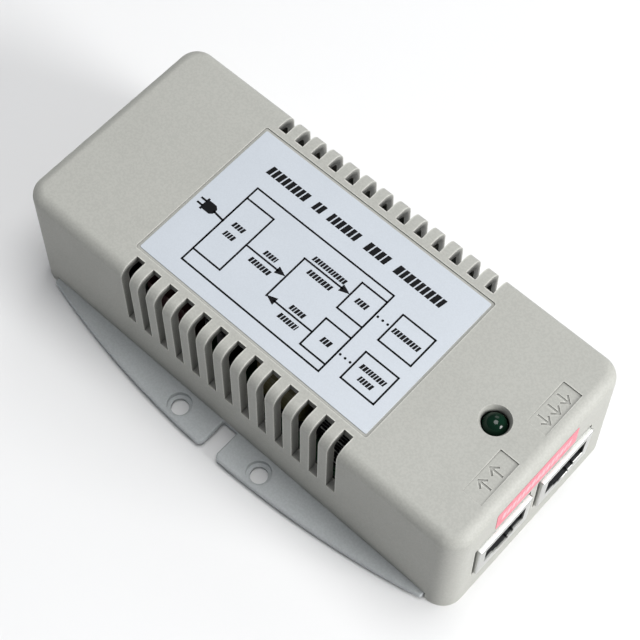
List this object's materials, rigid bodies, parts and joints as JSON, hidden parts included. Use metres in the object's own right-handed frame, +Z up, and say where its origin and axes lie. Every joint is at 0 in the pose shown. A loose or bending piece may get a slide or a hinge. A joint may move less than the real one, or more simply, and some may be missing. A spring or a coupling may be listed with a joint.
{
  "type": "poe injector",
  "caption": "Flat grey plastic power-over-Ethernet injector: vented case on a flanged base, mains inlet at one end, shielded network jacks and a sunk round lamp at the other.",
  "frame": {"origin": "centre of the bounding box at the underside of the base, where the injector rests", "axes": "+X from the mains inlet to the network jacks, the long way; +Y to the side of the data-out jack; +Z up out of the label"},
  "size_m": [0.1166, 0.0658, 0.0332],
  "materials": {
    "case_plastic": "fine-grained moulded ABS, light warm grey",
    "base_plastic": "fine-grained moulded ABS, mid grey",
    "plated_steel": "zinc plated",
    "label_film": "printed pale blue-grey film",
    "port_sticker": "plain pink vinyl sticker",
    "board": "green solder-masked laminate",
    "mylar": "translucent insulating film",
    "tinned_shield": "nickel or tin plated sheet",
    "black_plastic": "black moulded plastic",
    "brass": "plated spring contact",
    "blue_wire": "blue insulated wire",
    "earth_wire": "green and yellow insulated wire",
    "brown_wire": "brown insulated wire",
    "glass_fibre": "glass tube of the fuse",
    "film_capacitor": "red-brown dipped epoxy",
    "ferrite": null,
    "copper": "enamelled copper wire, brass standing in for copper",
    "sleeve": "dark shrink sleeve over an aluminium can",
    "heatsink": "black anodised",
    "tape": "yellow polyester tape over the winding",
    "ceramic": "blue dipped disc",
    "green_lens": "dark bottle-green tinted lamp lens"
  },
  "bodies": {
    "root": {"cover": "case_plastic", "base_plate": "base_plastic", "cover_screw_1": "plated_steel", "board_screw_1": "plated_steel", "cover_screw_2": "plated_steel", "board_screw_2": "plated_steel", "cover_screw_3": "plated_steel", "board_screw_3": "plated_steel", "cover_screw_4": "plated_steel", "board_screw_4": "plated_steel", "label": "label_film", "port_sticker": "port_sticker", "circuit_board": "board", "insulating_sheet": "mylar", "jack_in_shell": "tinned_shield", "jack_in_body": "black_plastic", "jack_in_contacts": "brass", "jack_out_shell": "tinned_shield", "jack_out_body": "black_plastic", "jack_out_contacts": "brass", "inlet_pin_neutral": "brass", "inlet_pin_earth": "brass", "inlet_pin_live": "brass", "inlet_housing": "black_plastic", "inlet_wire_neutral": "blue_wire", "inlet_wire_earth": "earth_wire", "inlet_wire_live": "brown_wire", "fuse_tube": "glass_fibre", "fuse_clip_1": "tinned_shield", "fuse_clip_2": "tinned_shield", "mains_filter_capacitor": "film_capacitor", "choke_core": "ferrite", "choke_winding_1": "copper", "choke_winding_2": "copper", "inrush_thermistor": "sleeve", "bridge_rectifier": "black_plastic", "bulk_capacitor": "sleeve", "primary_heatsink": "heatsink", "switching_transistor": "black_plastic", "transformer_core": "ferrite", "transformer_winding": "tape", "transformer_bobbin": "black_plastic", "control_chip": "black_plastic", "optocoupler": "black_plastic", "safety_capacitor": "ceramic", "output_heatsink": "heatsink", "output_rectifier": "black_plastic", "output_capacitor_1": "sleeve", "output_capacitor_2": "sleeve", "output_capacitor_3": "sleeve", "output_choke": "copper", "line_transformer": "black_plastic", "led_lens": "green_lens", "led_lead_cathode": "tinned_shield", "led_lead_anode": "tinned_shield"}
  },
  "joints": []
}
